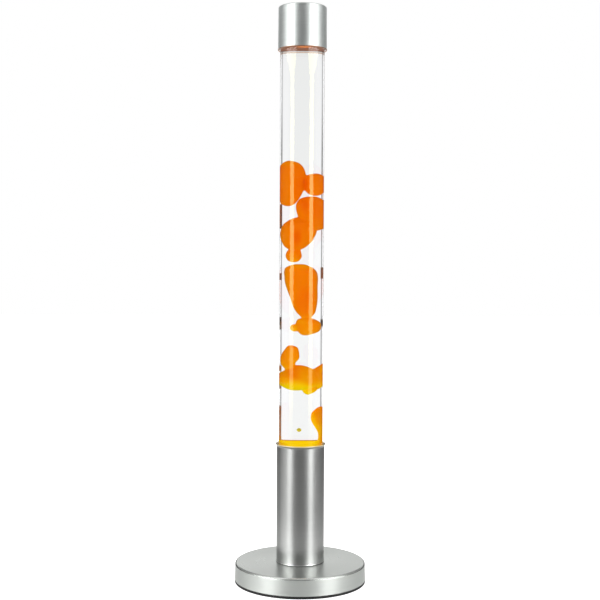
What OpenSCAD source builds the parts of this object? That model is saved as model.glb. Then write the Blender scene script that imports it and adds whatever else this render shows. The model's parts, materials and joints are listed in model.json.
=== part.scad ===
// Column lava floor lamp: a liquid-filled glass tube with coloured wax stands in
// a brushed metal sleeve on a round weighted base, under a lift-off metal cap.
// Origin: centre of the footprint, on the floor. +Z is up, the front is -Y and
// the cable leaves at the rear, +Y. All lengths are in millimetres.

/* [Base] */
// Radius of the base disc at its lower edge
base_r = 87; // [82:0.5:90]
// Height of the base disc's top face above the floor
base_h = 26.4; // [26:0.1:30]
// Sheet thickness of the base shell
base_wall = 1.5; // [1:0.1:1.8]
// Visible height of the black foot ring that the lamp stands on
foot_h = 3.6; // [3:0.1:4]
// Height of the cable gland's axis above the floor
gland_z = 14; // [12:0.5:15]
// Radius of the cable gland's bore
gland_bore_r = 3.1; // [2.5:0.1:3.5]

/* [Sleeve] */
// Outer radius of the metal sleeve
sleeve_r = 31.7; // [31.3:0.05:31.8]
// Sheet thickness of the sleeve
sleeve_wall = 1.5; // [1.3:0.1:1.6]
// Height of the flared lip above the floor
sleeve_top = 184.2; // [176:0.2:186]
// Outer radius of the flared lip
lip_r = 33.2; // [32.6:0.1:34]

/* [Bottle] */
// Outer radius of the glass tube
tube_r = 29.25; // [29:0.05:29.4]
// Wall thickness of the glass tube
tube_wall = 2; // [1.8:0.1:2.2]
// Height of the glass tube's closed lower end
bottle_z = 129.5; // [129:0.1:130]
// Height of the glass tube's open upper end
tube_top = 742; // [738:0.5:744]
// Height of the closure's underside, where the clear liquid ends
closure_z = 705.2; // [703:0.1:706.5]
// Height of the still surface of the wax pool
pool_z = 185.4; // [185:0.2:188]

/* [Cap] */
// Outer radius of the cap above its rim
cap_r = 32.1; // [31.8:0.1:32.6]
// Height of the cap's lower rim
cap_z = 703.5; // [703:0.1:706]
// Height of the cap's top face, the height of the whole lamp
lamp_h = 760; // [758:0.5:764]

/* [Lamp] */
// Height of the lamp bracket's upper face
bracket_z = 78; // [76:0.5:79]
// Half the distance between the two pins of the bulb
pin_x = 3.175; // [3.1:0.025:3.25]
// Outer radius of the bulb's glass capsule
bulb_r = 5.75; // [5:0.05:6]

/* [Hidden] */
$fn = 96;

// clearance between pieces that are fixed together
fit = 0.05;
edge_r = 3.2;                         // rounding of the base disc's top edge
shell_in = base_h - base_wall;        // underside of the base disc's top
sleeve_in = sleeve_r - sleeve_wall;
foot_t = 3;                           // thickness of the sleeve's inner floor
plate_z = 2.7;                        // underside of the bottom plate
weight_z0 = plate_z + 1.5;            // top of the bottom plate
weight_z1 = weight_z0 + 14;
fix_r = 60;                           // circle of the base screws
fix_a = [30, 150, 270];
sleeve_fix_r = 22;                    // circle of the sleeve screws
bore_r = tube_r - tube_wall;
fill_r = bore_r - fit;                // radius of the wax pool and the liquid
holder_z = bracket_z + 0.8;
holder_h = 12;
bulb_z = holder_z + holder_h + 0.3;
leg_x = bulb_r - 2.35;                // half the distance between the filament's legs
term_y = 30;                          // middle of the terminal block
term_z = weight_z0 + 6.5;             // height of the terminal bores

// ---- helpers ---------------------------------------------------------------

function arc(cx, cy, r, a0, a1, n) =
    [for (i = [0:n]) let (a = a0 + (a1 - a0) * i / n) [cx + r * cos(a), cy + r * sin(a)]];

// smooth curve through a list of points, n steps to a stretch
function cr(a, b, c, d, t) = 0.5 * (2 * b + (c - a) * t + (2 * a - 5 * b + 4 * c - d) * t * t
    + (3 * b - a - 3 * c + d) * t * t * t);
function pick(p, i) = p[max(0, min(len(p) - 1, i))];
function smooth(p, n) = concat(
    [for (i = [0:len(p) - 2]) for (k = [0:n - 1])
        cr(pick(p, i - 1), p[i], p[i + 1], pick(p, i + 2), k / n)], [p[len(p) - 1]]);

function unit(v) = v / norm(v);
function tangent(p, i) = unit(pick(p, i + 1) - pick(p, i - 1));
// a fixed side vector keeps the rings of a swept wire from twisting
function ring(p, i, r, n, up) = let (t = tangent(p, i), s = unit(cross(t, up)), q = cross(s, t))
    [for (k = [0:n - 1]) p[i] + r * (cos(360 * k / n) * s + sin(360 * k / n) * q)];

// round wire of radius r along the points p
module wire(p, r, n = 8, up = [1, 0, 0]) {
    m = len(p);
    pts = [for (i = [0:m - 1]) each ring(p, i, r, n, up)];
    faces = concat(
        [[for (k = [0:n - 1]) k]],
        [for (i = [0:m - 2]) for (k = [0:n - 1]) each [
            [i * n + k, (i + 1) * n + k, (i + 1) * n + (k + 1) % n],
            [i * n + k, (i + 1) * n + (k + 1) % n, i * n + (k + 1) % n]]],
        [[for (k = [n - 1:-1:0]) (m - 1) * n + k]]);
    polyhedron(pts, faces);
}

// pan-head screw: the shank runs up from z = 0, the head hangs below it
module screw(r, l, head_r, head_h) {
    difference() {
        union() {
            cylinder(r = r, h = l);
            rotate_extrude() polygon(concat([[0, 0], [0, -head_h], [head_r - 0.6, -head_h]],
                arc(head_r - 0.6, -head_h + 0.6, 0.6, -90, 0, 4), [[head_r, 0]]));
        }
        for (a = [0, 90]) rotate([0, 0, a])
            translate([-head_r * 0.5, -0.35, -head_h - 1]) cube([head_r, 0.7, 1 + head_h * 0.6]);
    }
}

// solid of revolution of a half ellipse: one rounded mass of wax
module egg(p, r, c, g = 0, tilt = 0, n = 14)
    translate(p) rotate([0, tilt, 0]) rotate_extrude()
        polygon([for (i = [0:n]) [(r + g) * cos(180 * i / n - 90), (c + g) * sin(180 * i / n - 90)]]);

// ---- base ------------------------------------------------------------------

module base_shell() color([0.73, 0.75, 0.72]) difference() {
    rotate_extrude() polygon(concat(
        [[base_r - base_wall, foot_h], [base_r, foot_h]],
        arc(base_r - 0.5 - edge_r, base_h - edge_r, edge_r, 0, 90, 8),
        [[14, base_h], [14, shell_in]],
        arc(base_r - 0.5 - edge_r, base_h - edge_r, edge_r - base_wall, 90, 0, 5)));
    for (a = fix_a) rotate([0, 0, a]) translate([sleeve_fix_r, 0, shell_in - 1])
        cylinder(r = 2.2, h = base_wall + 2);
    translate([0, base_r - 10, gland_z]) rotate([-90, 0, 0]) cylinder(r = 5, h = 15);
}

module foot_ring() color([0.05, 0.05, 0.05]) rotate_extrude() polygon([
    [78, 0], [base_r - 0.6, 0], [base_r - 0.1, 0.5], [base_r - 0.1, foot_h],
    [base_r - base_wall - 0.2, foot_h], [base_r - base_wall - 0.2, plate_z + 3.8],
    [base_r - base_wall - 1.8, plate_z + 3.8], [base_r - base_wall - 1.8, plate_z],
    [78, plate_z]]);

module bottom_plate() color([0.08, 0.08, 0.08]) difference() {
    translate([0, 0, plate_z]) cylinder(r = base_r - base_wall - 2, h = 1.5);
    for (a = fix_a) rotate([0, 0, a]) translate([fix_r, 0, 0]) cylinder(r = 2.7, h = 10);
    translate([0, term_y, 0]) cylinder(r = 1.6, h = 10);
}

module base_weight() color([0.30, 0.30, 0.31]) difference() {
    rotate_extrude() polygon([[42, weight_z0 + 1], [43, weight_z0], [78, weight_z0], [79, weight_z0 + 1],
        [79, weight_z1 - 2], [77, weight_z1], [44, weight_z1], [42, weight_z1 - 2]]);
    for (a = fix_a) rotate([0, 0, a]) translate([fix_r, 0, 0]) cylinder(r = 2.9, h = 40);
    // slot for the cable from the gland to the terminals
    translate([-9, 0, 0]) cube([18, 100, 40]);
}

module base_standoffs() color([0.66, 0.67, 0.69]) for (a = fix_a) rotate([0, 0, a])
    translate([fix_r, 0, weight_z1]) difference() {
        cylinder(r = 5, h = shell_in - weight_z1);
        translate([0, 0, -1]) cylinder(r = 2.58, h = 20);
    }

module base_screws() color([0.66, 0.67, 0.69]) for (a = fix_a) rotate([0, 0, a])
    translate([fix_r, 0, plate_z]) screw(2.5, shell_in - plate_z - 1.5, 4.6, plate_z - 0.3);

module cable_gland() color([0.07, 0.07, 0.07]) translate([0, 0, gland_z]) rotate([-90, 0, 0])
    difference() {
        union() {
            translate([0, 0, base_r - 10]) cylinder(r = 4.9, h = 10);
            translate([0, 0, base_r - 0.1]) rotate_extrude() polygon(concat([[0, 0], [6.6, 0]],
                arc(5.6, 1, 1, 0, 90, 5), [[0, 2]]));
        }
        cylinder(r = gland_bore_r, h = 200);
    }

module gland_nut() color([0.07, 0.07, 0.07]) translate([0, base_r - 7, gland_z]) rotate([-90, 0, 0])
    difference() {
        cylinder(r = 7.5, h = 4.7, $fn = 6);
        translate([0, 0, -1]) cylinder(r = 4.95, h = 10);
    }

module terminal_block() color([0.10, 0.10, 0.10]) difference() {
    translate([-11, term_y - 8, weight_z0]) cube([22, 16, 12]);
    for (x = [-5.5, 5.5]) {
        translate([x, term_y - 9, term_z]) rotate([-90, 0, 0]) cylinder(r = 2.6, h = 18);
        for (y = [-4, 4]) translate([x, term_y + y, term_z]) cylinder(r = 2.1, h = 20);
    }
    translate([0, term_y, 0]) cylinder(r = 1.6, h = 40);
    translate([0, term_y, weight_z0 + 6]) cylinder(r = 2.8, h = 40);
}

module terminal_inserts() color([0.78, 0.62, 0.30]) for (x = [-5.5, 5.5]) difference() {
    translate([x, term_y - 7, term_z]) rotate([-90, 0, 0]) cylinder(r = 2.55, h = 14);
    translate([x, term_y - 9, term_z]) rotate([-90, 0, 0]) cylinder(r = 1.6, h = 18);
    for (y = [-4, 4]) translate([x, term_y + y, term_z]) cylinder(r = 1.3, h = 20);
}

module terminal_screws() color([0.66, 0.67, 0.69]) for (x = [-5.5, 5.5]) for (y = [-4, 4])
    translate([x, term_y + y, term_z + 2.7]) rotate([180, 0, 0]) screw(1.25, 1.4, 1.9, 1.6);

module terminal_fixing_screw() color([0.66, 0.67, 0.69]) translate([0, term_y, weight_z0 + 6])
    rotate([180, 0, 0]) screw(1.5, 7.2, 2.6, 1.8);

// ---- sleeve and lamp -------------------------------------------------------

// the foot of the sleeve is rolled into a fine bead over a narrow shadow gap
module sleeve() color([0.72, 0.74, 0.73]) rotate_extrude() polygon(concat(
    [[sleeve_in, base_h], [sleeve_r - 0.8, base_h], [sleeve_r - 0.8, base_h + 0.55]],
    smooth([[sleeve_r - 0.2, base_h + 0.55], [sleeve_r + 0.15, base_h + 0.8], [sleeve_r + 0.25, base_h + 1.2],
        [sleeve_r + 0.12, base_h + 1.8], [sleeve_r, base_h + 2.5]], 2), [[sleeve_r, sleeve_top - 4]],
    smooth([[sleeve_r, sleeve_top - 4], [sleeve_r + 0.25, sleeve_top - 2.6], [lip_r - 0.5, sleeve_top - 1.4],
        [lip_r, sleeve_top - 0.8], [lip_r - 0.1, sleeve_top - 0.2], [lip_r - 0.6, sleeve_top],
        [lip_r - 1.5, sleeve_top - 0.8], [sleeve_in + 0.35, sleeve_top - 2.8], [sleeve_in, sleeve_top - 5]], 3)));

module sleeve_foot() color([0.62, 0.63, 0.64]) difference() {
    translate([0, 0, base_h]) cylinder(r = sleeve_in - fit, h = foot_t);
    translate([0, 0, base_h - 1]) cylinder(r = 10, h = foot_t + 2);
    for (a = fix_a) rotate([0, 0, a]) translate([sleeve_fix_r, 0, base_h - 1]) cylinder(r = 2.05, h = foot_t + 2);
    for (x = [-5.5, 5.5]) translate([x, 18, base_h - 1]) cylinder(r = 1.55, h = foot_t + 2);
    // air holes
    for (a = [0, 180, 225, 315]) rotate([0, 0, a]) translate([19, 0, base_h - 1]) cylinder(r = 3.2, h = foot_t + 2);
}

module sleeve_screws() color([0.66, 0.67, 0.69]) for (a = fix_a) rotate([0, 0, a])
    translate([sleeve_fix_r, 0, shell_in]) screw(2, base_wall + foot_t - 0.2, 3.8, 2.4);

module lamp_bracket() color([0.62, 0.63, 0.64]) difference() {
    union() {
        translate([-9, 11, base_h + foot_t]) cube([18, 13, 1.5]);
        translate([-9, 11, base_h + foot_t]) cube([18, 1.5, bracket_z - base_h - foot_t]);
        translate([-9, -10, bracket_z - 1.5]) cube([18, 22.5, 1.5]);
    }
    for (x = [-5.5, 5.5]) translate([x, 18, base_h]) cylinder(r = 1.7, h = 10);
    for (y = [-6.5, 6.5]) translate([0, y, bracket_z - 5]) cylinder(r = 1.55, h = 10);
    for (x = [-pin_x, pin_x]) translate([x, 0, bracket_z - 5]) cylinder(r = 1.8, h = 10);
}

module bracket_screws() color([0.66, 0.67, 0.69]) for (x = [-5.5, 5.5])
    translate([x, 18, base_h + foot_t + 1.5]) rotate([180, 0, 0]) screw(1.5, foot_t + 1.3, 2.7, 1.9);

module reflector() color([0.85, 0.86, 0.88]) difference() {
    rotate_extrude() polygon(concat(
        [[0, bracket_z], [12, bracket_z]],
        [for (i = [0:10]) let (t = i / 10) [12.7 + 15 * t, bracket_z + 0.35 + 32 * pow(t, 1.5)]],
        [[27.7, bracket_z + 33.2], [27.0, bracket_z + 33.2]],
        [for (i = [10:-1:0]) let (t = i / 10) [11.9 + 15 * t, bracket_z + 0.8 + 32 * pow(t, 1.5)]],
        [[0, bracket_z + 0.8]]));
    for (y = [-6.5, 6.5]) translate([0, y, bracket_z - 5]) cylinder(r = 1.6, h = 10);
    for (x = [-pin_x, pin_x]) translate([x, 0, bracket_z - 5]) cylinder(r = 1.8, h = 10);
}

module lampholder() color([0.93, 0.92, 0.88]) difference() {
    translate([0, 0, holder_z]) rotate_extrude() polygon([[0, 0], [10, 0], [10, holder_h - 1],
        [9, holder_h], [0, holder_h]]);
    for (x = [-pin_x, pin_x]) translate([x, 0, holder_z - 1]) cylinder(r = 1.4, h = holder_h + 2);
    for (y = [-6.5, 6.5]) {
        translate([0, y, holder_z - 1]) cylinder(r = 1.65, h = holder_h + 2);
        translate([0, y, holder_z + holder_h - 2.4]) cylinder(r = 2.9, h = 5);
    }
}

module lampholder_contacts() color([0.78, 0.62, 0.30]) for (x = [-pin_x, pin_x])
    translate([x, 0, holder_z + 0.5]) difference() {
        cylinder(r = 1.36, h = holder_h - 1);
        translate([0, 0, -1]) cylinder(r = 0.7, h = holder_h + 2);
    }

module lampholder_screws() color([0.66, 0.67, 0.69]) for (y = [-6.5, 6.5])
    translate([0, y, holder_z + holder_h - 2.4]) rotate([180, 0, 0]) screw(1.5, holder_h + 1, 2.7, 2);

// insulated lead from a lampholder contact down to the terminal block
module lead(s) wire(smooth([
    [s * pin_x, 0, holder_z + 0.45], [s * pin_x, 0, 74], [s * 3.6, -1, 62], [s * 4.5, -2, 46],
    [s * 5.3, -1, 32], [s * 5.5, 1.5, 21], [s * 5.5, 7, 13.2], [s * 5.5, 15, term_z], [s * 5.5, 19, term_z],
    [s * 5.5, 26, term_z]], 3), 1.1);
module lead_left() color([0.85, 0.84, 0.80]) lead(-1);
module lead_right() color([0.85, 0.84, 0.80]) lead(1);

module bottle_seat() color([0.62, 0.63, 0.64]) rotate_extrude() polygon([
    [21, bottle_z - 4], [sleeve_in - 1.3, bottle_z - 4], [sleeve_in - 1.3, bottle_z - 17],
    [sleeve_in - fit, bottle_z - 17], [sleeve_in - fit, bottle_z - 2.5], [21, bottle_z - 2.5]]);

module seat_cushion() color([0.80, 0.78, 0.72]) rotate_extrude() polygon([
    [22.5, bottle_z - 2.5], [28, bottle_z - 2.5], [28, bottle_z - 0.6], [27.4, bottle_z],
    [23.1, bottle_z], [22.5, bottle_z - 0.6]]);

// ---- bulb ------------------------------------------------------------------

module bulb_envelope() color([0.80, 0.84, 0.86, 0.5]) difference() {
    union() {
        translate([0, 0, bulb_z]) rotate_extrude() polygon(concat(
            [[0, 5.7], [3, 5.7], [bulb_r, 8.4]], arc(0, 22.4, bulb_r, 0, 90, 10)));
        translate([-4.7, -1.8, bulb_z]) cube([9.4, 3.6, 7]);
    }
    translate([0, 0, bulb_z]) rotate_extrude() polygon(concat(
        [[0, 7.5], [2.5, 7.5], [bulb_r - 0.85, 9.9]], arc(0, 22.4, bulb_r - 0.85, 0, 90, 8)));
    for (x = [-pin_x, pin_x]) translate([x, 0, bulb_z - 1]) cylinder(r = 0.65, h = 4);
}

// coiled tungsten wire across the capsule, with a leg at each end
module bulb_filament() color([0.25, 0.25, 0.27]) translate([0, 0, bulb_z]) wire(concat(
    [[-leg_x, 1, 9], [-leg_x, 1, 11], [-leg_x, 1, 13], [-leg_x, 1, 15.6]],
    [for (i = [0:60]) let (a = i * 36) [(leg_x - 0.2) * (i / 30 - 1), cos(a), 16 + sin(a)]],
    [[leg_x, 1, 15.6], [leg_x, 1, 13], [leg_x, 1, 11], [leg_x, 1, 9]]), 0.14, 6, [1, 0, 0]);

module bulb_pins() color([0.66, 0.67, 0.69]) for (x = [-pin_x, pin_x])
    translate([x, 0, bulb_z - 8]) cylinder(r = 0.625, h = 10.9);

// ---- bottle ----------------------------------------------------------------

module glass_tube() color([0.85, 0.88, 0.88, 0.3]) rotate_extrude() polygon(concat(
    [[0, bottle_z]],
    arc(tube_r - 3.7, bottle_z + 3.7, 3.7, -90, 0, 8),
    arc(tube_r - 0.7, tube_top - 0.7, 0.7, 0, 90, 3),
    arc(bore_r + 0.5, tube_top - 0.5, 0.5, 90, 180, 3),
    arc(bore_r - 3, bottle_z + 6, 3, 0, -90, 8),
    [[0, bottle_z + 3]]));

// loose spiral of steel wire that lies in the wax and carries the heat into it
module wax_coil() color([0.66, 0.67, 0.69]) wire(
    [for (i = [0:54]) let (a = i * 20) [21 * cos(a), 21 * sin(a), bottle_z + 4.2 + 0.12 * i]],
    0.9, 8, [0, 0, 1]);

// the column of wax that is just rising out of the pool, at its right
module rising_wax(g = 0) {
    egg([17.6, 0, pool_z + 35], 8.9, 14.2, g);
    translate([21.1, 0, pool_z - 6]) cylinder(r1 = 5.4 + g, r2 = 5.1 + g, h = 35.6);
}

module wax_pool() color([1.0, 0.78, 0.05]) union() {
    rotate_extrude() polygon(concat(
        [[0, bottle_z + 3.05], [18.4, bottle_z + 3.05], [18.4, bottle_z + 12], [23.6, bottle_z + 12],
            [23.6, bottle_z + 3.1]],
        arc(bore_r - 3.05, bottle_z + 6.1, 3, -90, 0, 6),
        [[fill_r, pool_z], [0, pool_z]]));
    rising_wax();
}

module wax_a(g) egg([-11.4, 0.5, 527.3], 14.9, 29.9, g);
module wax_b(g) egg([13.4, 1, 526.2], 11.1, 14.8, g);
module wax_c(g) egg([10.6, -0.5, 489], 15.7, 21.6, g);
module wax_d(g) egg([-3.7, 0, 461.3], 17.4, 21.8, g);
module wax_e(g) egg([-7.6, 0, 433.2], 7.6, 9.4, g);
// a long drop that narrows downwards and leans a little
module wax_f(g) translate([-0.6, 0, 401]) rotate([0, -7, 0]) rotate_extrude() polygon([
    for (p = smooth([[0, -50.4], [5.4, -48.6], [8.8, -43.5], [11.2, -35], [12.7, -26], [14.3, -14],
        [16.2, -3], [17.0, 4.5], [15.3, 12.4], [10.0, 18.2], [0, 20.9]], 2))
        [p[0] < 0.01 ? 0 : p[0] + g, p[1] + g * sign(p[1])]]);
module wax_g(g) egg([6.9, 0, 339.8], 11.8, 12, g);
module wax_g_nub(g) egg([-6.6, -2, 337.8], 3.9, 4.5, g);
module wax_h_left(g) egg([-11.5, 0, 298.4], 9.3, 16.4, g, 4);
module wax_h_main(g) egg([-3, 0, 272.4], 22.4, 16.7, g);
module wax_h_right(g) egg([16.6, 0, 274], 8.9, 15.8, g);
module wax_h_low(g) egg([6.8, -2, 262], 8.3, 12.2, g);

module upper_wax(g = 0) { wax_a(g); wax_b(g); }
module middle_wax(g = 0) { wax_c(g); wax_d(g); wax_e(g); }
module teardrop_wax(g = 0) { wax_f(g); wax_g(g); wax_g_nub(g); }
module lower_wax(g = 0) { wax_h_left(g); wax_h_main(g); wax_h_right(g); wax_h_low(g); }
module droplet_wax(g = 0) egg([-1.6, 0, 203], 2.4, 2.7, g);

module wax_upper() color([0.96, 0.43, 0.02]) union() upper_wax();
module wax_middle() color([0.95, 0.42, 0.02]) union() middle_wax();
module wax_teardrop() color([0.96, 0.45, 0.02]) union() teardrop_wax();
module wax_lower() color([0.97, 0.55, 0.02]) union() lower_wax();
module wax_droplet() color([0.85, 0.80, 0.20]) droplet_wax();

// the clear liquid fills the tube around every mass of wax
module clear_liquid() color([0.95, 0.96, 0.97, 0.3]) difference() {
    translate([0, 0, pool_z]) cylinder(r = fill_r, h = closure_z - pool_z);
    rising_wax(0.1);
    upper_wax(0.1);
    middle_wax(0.1);
    teardrop_wax(0.1);
    lower_wax(0.1);
    droplet_wax(0.1);
}

module closure_plug() color([0.72, 0.42, 0.20]) rotate_extrude() polygon([
    [0, closure_z], [bore_r - 0.75, closure_z], [bore_r - 0.25, closure_z + 0.5],
    [bore_r - 0.25, closure_z + 18.6], [24.9, closure_z + 18.6], [24.9, closure_z + 21.6],
    [bore_r - 0.25, closure_z + 21.6], [bore_r - 0.25, tube_top], [tube_r - 0.25, tube_top],
    [tube_r - 0.25, tube_top + 2], [22.5, tube_top + 2], [22.5, closure_z + 3], [0, closure_z + 3]]);

module closure_seal() color([0.12, 0.10, 0.09]) translate([0, 0, closure_z + 20.1])
    rotate_extrude() translate([26.05, 0]) circle(r = 1.12, $fn = 32);

// ---- cap -------------------------------------------------------------------

module top_cap() color([0.74, 0.76, 0.75]) rotate_extrude() polygon(concat(
    [[cap_r - 1, cap_z + 0.7], [cap_r - 0.6, cap_z + 0.1], [cap_r, cap_z]],
    arc(cap_r - 0.3, cap_z + 0.65, 0.65, -60, 60, 4),
    [[cap_r, cap_z + 1.6], [cap_r, cap_z + 4]],
    arc(cap_r - 2.2, lamp_h - 2, 2, 0, 90, 6),
    [[0, lamp_h], [0, lamp_h - 1.2], [cap_r - 2.2, lamp_h - 1.2], [cap_r - 1.2, lamp_h - 2.2],
        [cap_r - 1, cap_z + 4]]));

module cap_liner() color([0.15, 0.15, 0.15]) rotate_extrude() polygon([
    [tube_r + 0.35, cap_z + 4.2], [cap_r - 1.25, cap_z + 4.2], [cap_r - 1.25, lamp_h - 2.6],
    [tube_r + 0.35, lamp_h - 2.6], [tube_r + 0.35, tube_top + 4], [25, tube_top + 4], [25, tube_top + 2],
    [tube_r + 0.35, tube_top + 2]]);

// ---- what is drawn ---------------------------------------------------------

base_shell();
foot_ring();
bottom_plate();
base_weight();
base_standoffs();
base_screws();
cable_gland();
gland_nut();
terminal_block();
terminal_inserts();
terminal_screws();
terminal_fixing_screw();
sleeve();
sleeve_foot();
sleeve_screws();
lamp_bracket();
bracket_screws();
reflector();
lampholder();
lampholder_contacts();
lampholder_screws();
lead_left();
lead_right();
bottle_seat();
seat_cushion();
bulb_envelope();
bulb_filament();
bulb_pins();
glass_tube();
wax_coil();
wax_pool();
clear_liquid();
closure_plug();
closure_seal();
wax_upper();
wax_middle();
wax_teardrop();
wax_lower();
wax_droplet();
top_cap();
cap_liner();
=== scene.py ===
import bpy
import bmesh
import json
import math
from mathutils import Matrix, Vector


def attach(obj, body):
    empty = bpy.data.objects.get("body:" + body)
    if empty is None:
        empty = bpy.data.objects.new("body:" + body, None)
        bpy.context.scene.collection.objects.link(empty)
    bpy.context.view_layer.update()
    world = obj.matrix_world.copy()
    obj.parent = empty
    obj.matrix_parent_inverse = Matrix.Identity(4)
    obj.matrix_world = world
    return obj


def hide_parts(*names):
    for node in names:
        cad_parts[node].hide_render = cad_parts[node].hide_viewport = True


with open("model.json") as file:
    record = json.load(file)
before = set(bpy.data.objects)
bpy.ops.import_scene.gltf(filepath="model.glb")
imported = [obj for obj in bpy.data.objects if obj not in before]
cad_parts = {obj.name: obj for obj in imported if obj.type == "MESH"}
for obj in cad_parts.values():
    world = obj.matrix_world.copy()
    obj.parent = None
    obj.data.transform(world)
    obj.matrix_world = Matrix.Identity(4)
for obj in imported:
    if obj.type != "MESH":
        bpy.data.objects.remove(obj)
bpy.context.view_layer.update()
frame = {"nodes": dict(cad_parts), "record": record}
scene = bpy.context.scene
nodes = frame["nodes"]
MM = 0.001


# ---------------------------------------------------------------- helpers

def link(obj):
    scene.collection.objects.link(obj)
    return obj


def mesh_object(name, verts, faces, smooth=True):
    me = bpy.data.meshes.new(name)
    me.from_pydata(verts, [], faces)
    me.validate()
    me.update()
    for p in me.polygons:
        p.use_smooth = smooth
    return link(bpy.data.objects.new(name, me))


def apply_modifiers(obj):
    bpy.context.view_layer.update()
    dg = bpy.context.evaluated_depsgraph_get()
    me = bpy.data.meshes.new_from_object(obj.evaluated_get(dg))
    obj.modifiers.clear()
    obj.data = me
    return obj


def arc(cx, cz, r, a0, a1, n):
    return [(cx + r * math.cos(math.radians(a0 + (a1 - a0) * i / n)),
             cz + r * math.sin(math.radians(a0 + (a1 - a0) * i / n))) for i in range(n + 1)]


def spline(pts, n):
    """Smooth curve through points of any dimension, n steps to a stretch."""
    out = []
    last = len(pts) - 1
    for i in range(last):
        a, b, c, d = pts[max(i - 1, 0)], pts[i], pts[i + 1], pts[min(i + 2, last)]
        for k in range(n):
            t = k / n
            out.append(tuple(0.5 * (2 * q + (r - p) * t + (2 * p - 5 * q + 4 * r - s) * t * t
                                    + (3 * q - p - 3 * r + s) * t ** 3) for p, q, r, s in zip(a, b, c, d)))
    out.append(tuple(pts[-1]))
    return out


def lathe(name, profile, segments=192, sharp=32):
    """Closed outline of (radius, height) pairs in mm, turned about the lamp's axis. Points on the axis close up."""
    verts, rings = [], []
    for r, z in profile:
        if r < 1e-6:
            rings.append([len(verts)])
            verts.append((0, 0, z * MM))
        else:
            rings.append(list(range(len(verts), len(verts) + segments)))
            verts += [(r * MM * math.cos(2 * math.pi * k / segments), r * MM * math.sin(2 * math.pi * k / segments), z * MM)
                      for k in range(segments)]
    faces = []
    m = len(rings)
    for i in range(m):
        a, b = rings[i], rings[(i + 1) % m]
        if len(a) == 1 and len(b) == 1:
            continue
        for k in range(segments):
            k2 = (k + 1) % segments
            if len(a) == 1:
                faces.append((a[0], b[k2], b[k]))
            elif len(b) == 1:
                faces.append((a[k], a[k2], b[0]))
            else:
                faces.append((a[k], a[k2], b[k2], b[k]))
    obj = mesh_object(name, verts, faces)
    bm = bmesh.new()
    bm.from_mesh(obj.data)
    bmesh.ops.recalc_face_normals(bm, faces=bm.faces)
    for e in bm.edges:
        e.smooth = not (len(e.link_faces) == 2 and e.calc_face_angle(0) > math.radians(sharp))
    bm.to_mesh(obj.data)
    bm.free()
    return obj


# ---------------------------------------------------------------- camera

FOCAL_PX, DIST, CAM_H = 1108.5, 1.470, 0.4173
PITCH, ROLL, AXIS_PX = 0.0290, 0.0048, 1.3
cam_data = bpy.data.cameras.new("camera")
cam = link(bpy.data.objects.new("camera", cam_data))
cam_data.sensor_width = 36.0
cam_data.lens = FOCAL_PX / 600 * 36.0
cam_data.clip_start, cam_data.clip_end = 0.05, 60
right = Vector((1, 0, 0))
ahead = Vector((0, math.cos(PITCH), -math.sin(PITCH)))
up = Vector((0, math.sin(PITCH), math.cos(PITCH)))
r2 = right * math.cos(ROLL) + up * math.sin(ROLL)
u2 = up * math.cos(ROLL) - right * math.sin(ROLL)
cam.matrix_world = Matrix(((r2.x, u2.x, -ahead.x, -AXIS_PX * DIST / FOCAL_PX),
                           (r2.y, u2.y, -ahead.y, -DIST),
                           (r2.z, u2.z, -ahead.z, CAM_H),
                           (0, 0, 0, 1)))
scene.camera = cam


# ---------------------------------------------------------------- node helpers

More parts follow.
